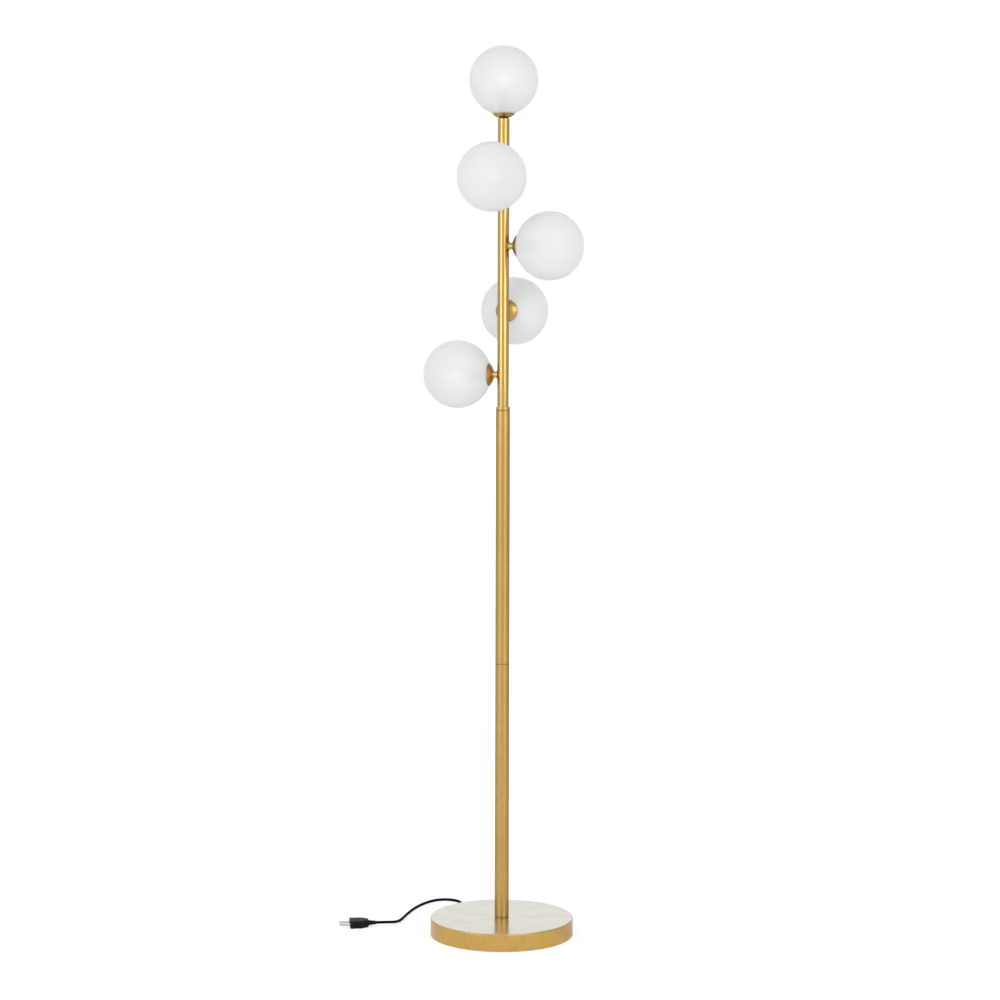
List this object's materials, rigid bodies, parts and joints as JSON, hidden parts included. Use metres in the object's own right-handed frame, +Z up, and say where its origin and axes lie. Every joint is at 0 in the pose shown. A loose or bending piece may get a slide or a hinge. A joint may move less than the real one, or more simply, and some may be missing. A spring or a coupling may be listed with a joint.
{
  "type": "globe floor lamp",
  "caption": "Floor lamp with a round weighted base, a slim gold pole and frosted glass globes on short arms that wind up its upper part, with a foot switch on its cord.",
  "frame": {"origin": "middle of the base's underside, on the floor", "axes": "+Z up the pole; the highest arm points to -Y (front), then +X, +Y and -X down the pole"},
  "size_m": [0.4423, 0.3564, 1.571],
  "materials": {
    "satin_gold": "satin, finely brushed",
    "polished_gold": "polished",
    "cast_iron": "as cast",
    "rubber_pad": "matte",
    "zinc_steel": "zinc plated",
    "black_plastic": "fine grain",
    "black_cord": "semi-gloss",
    "button_plastic": "smooth",
    "nickel_brass": "nickel plated",
    "lead_sleeve": "smooth",
    "splice_sleeve": "smooth",
    "holder_plastic": "fine grain",
    "bulb_glass": "frosted, lit",
    "clear_seat": "translucent",
    "frosted_glass": "opal, satin"
  },
  "bodies": {
    "stand": {"base_cover": "satin_gold", "lower_tube": "satin_gold", "middle_tube": "satin_gold", "reducer_collar": "satin_gold", "tube_joint_stud": "satin_gold", "front_arm": "satin_gold", "right_arm": "satin_gold", "rear_arm": "satin_gold", "left_arm": "satin_gold", "top_cup": "satin_gold", "front_cup": "satin_gold", "right_cup": "satin_gold", "rear_cup": "satin_gold", "left_cup": "satin_gold", "top_plug": "satin_gold", "upper_tube": "polished_gold", "base_weight": "cast_iron", "base_pad": "rubber_pad", "base_rod": "zinc_steel", "base_washer": "zinc_steel", "base_nut": "zinc_steel", "tube_inserts": "zinc_steel", "arm_pipes": "zinc_steel", "switch_screws": "zinc_steel", "cord_strain_relief": "black_plastic", "switch_base": "black_plastic", "switch_cover": "black_plastic", "switch_contacts": "black_plastic", "plug_body": "black_plastic", "terminal_block": "black_plastic", "coil_tie": "black_plastic", "inner_mains_cord": "black_cord", "cord_lead": "black_cord", "cord_coil": "black_cord", "cord_tail": "black_cord", "riser_cable": "black_cord", "plug_pins": "nickel_brass", "lamp_leads": "lead_sleeve", "wire_splice": "splice_sleeve", "top_lamp_holder": "holder_plastic", "front_lamp_holder": "holder_plastic", "right_lamp_holder": "holder_plastic", "rear_lamp_holder": "holder_plastic", "left_lamp_holder": "holder_plastic", "top_bulb": "bulb_glass", "front_bulb": "bulb_glass", "right_bulb": "bulb_glass", "rear_bulb": "bulb_glass", "left_bulb": "bulb_glass"},
    "top_seat_ring": {"top_seat": "clear_seat"},
    "top_glass": {"top_globe": "frosted_glass"},
    "front_seat_ring": {"front_seat": "clear_seat"},
    "front_glass": {"front_globe": "frosted_glass"},
    "right_seat_ring": {"right_seat": "clear_seat"},
    "right_glass": {"right_globe": "frosted_glass"},
    "rear_seat_ring": {"rear_seat": "clear_seat"},
    "rear_glass": {"rear_globe": "frosted_glass"},
    "left_seat_ring": {"left_seat": "clear_seat"},
    "left_glass": {"left_globe": "frosted_glass"},
    "button": {"switch_button": "button_plastic"}
  },
  "joints": [
    {"name": "top_globe_turn", "type": "hinge", "parent": "stand", "child": "top_seat_ring", "pos_m": [0, 0, 1.428], "axis": [0, 0, 1], "range_deg": [0, 900]},
    {"name": "top_globe_travel", "type": "slide", "parent": "top_seat_ring", "child": "top_glass", "axis": [0, 0, 1], "range_m": [0, 0.00375]},
    {"name": "front_globe_turn", "type": "hinge", "parent": "stand", "child": "front_seat_ring", "pos_m": [0, 0, 1.34], "axis": [0, -1, 0], "range_deg": [0, 900]},
    {"name": "front_globe_travel", "type": "slide", "parent": "front_seat_ring", "child": "front_glass", "axis": [0, -1, 0], "range_m": [0, 0.00375]},
    {"name": "right_globe_turn", "type": "hinge", "parent": "stand", "child": "right_seat_ring", "pos_m": [0, 0, 1.224], "axis": [1, 0, 0], "range_deg": [0, 900]},
    {"name": "right_globe_travel", "type": "slide", "parent": "right_seat_ring", "child": "right_glass", "axis": [1, 0, 0], "range_m": [0, 0.00375]},
    {"name": "rear_globe_turn", "type": "hinge", "parent": "stand", "child": "rear_seat_ring", "pos_m": [0, 0, 1.111], "axis": [0, 1, 0], "range_deg": [0, 900]},
    {"name": "rear_globe_travel", "type": "slide", "parent": "rear_seat_ring", "child": "rear_glass", "axis": [0, 1, 0], "range_m": [0, 0.00375]},
    {"name": "left_globe_turn", "type": "hinge", "parent": "stand", "child": "left_seat_ring", "pos_m": [0, 0, 0.999], "axis": [-1, 0, 0], "range_deg": [0, 900]},
    {"name": "left_globe_travel", "type": "slide", "parent": "left_seat_ring", "child": "left_glass", "axis": [-1, 0, 0], "range_m": [0, 0.00375]},
    {"name": "switch_press", "type": "slide", "parent": "stand", "child": "button", "axis": [0, 0, -1], "range_m": [0, 0.0022], "stiffness_N_per_m": 400, "springref_m": -0.0015}
  ],
  "couplings": [
    {"joint": "top_globe_travel", "follows": "top_globe_turn", "m_per_rad": 0.0002387},
    {"joint": "front_globe_travel", "follows": "front_globe_turn", "m_per_rad": 0.0002387},
    {"joint": "right_globe_travel", "follows": "right_globe_turn", "m_per_rad": 0.0002387},
    {"joint": "rear_globe_travel", "follows": "rear_globe_turn", "m_per_rad": 0.0002387},
    {"joint": "left_globe_travel", "follows": "left_globe_turn", "m_per_rad": 0.0002387}
  ]
}
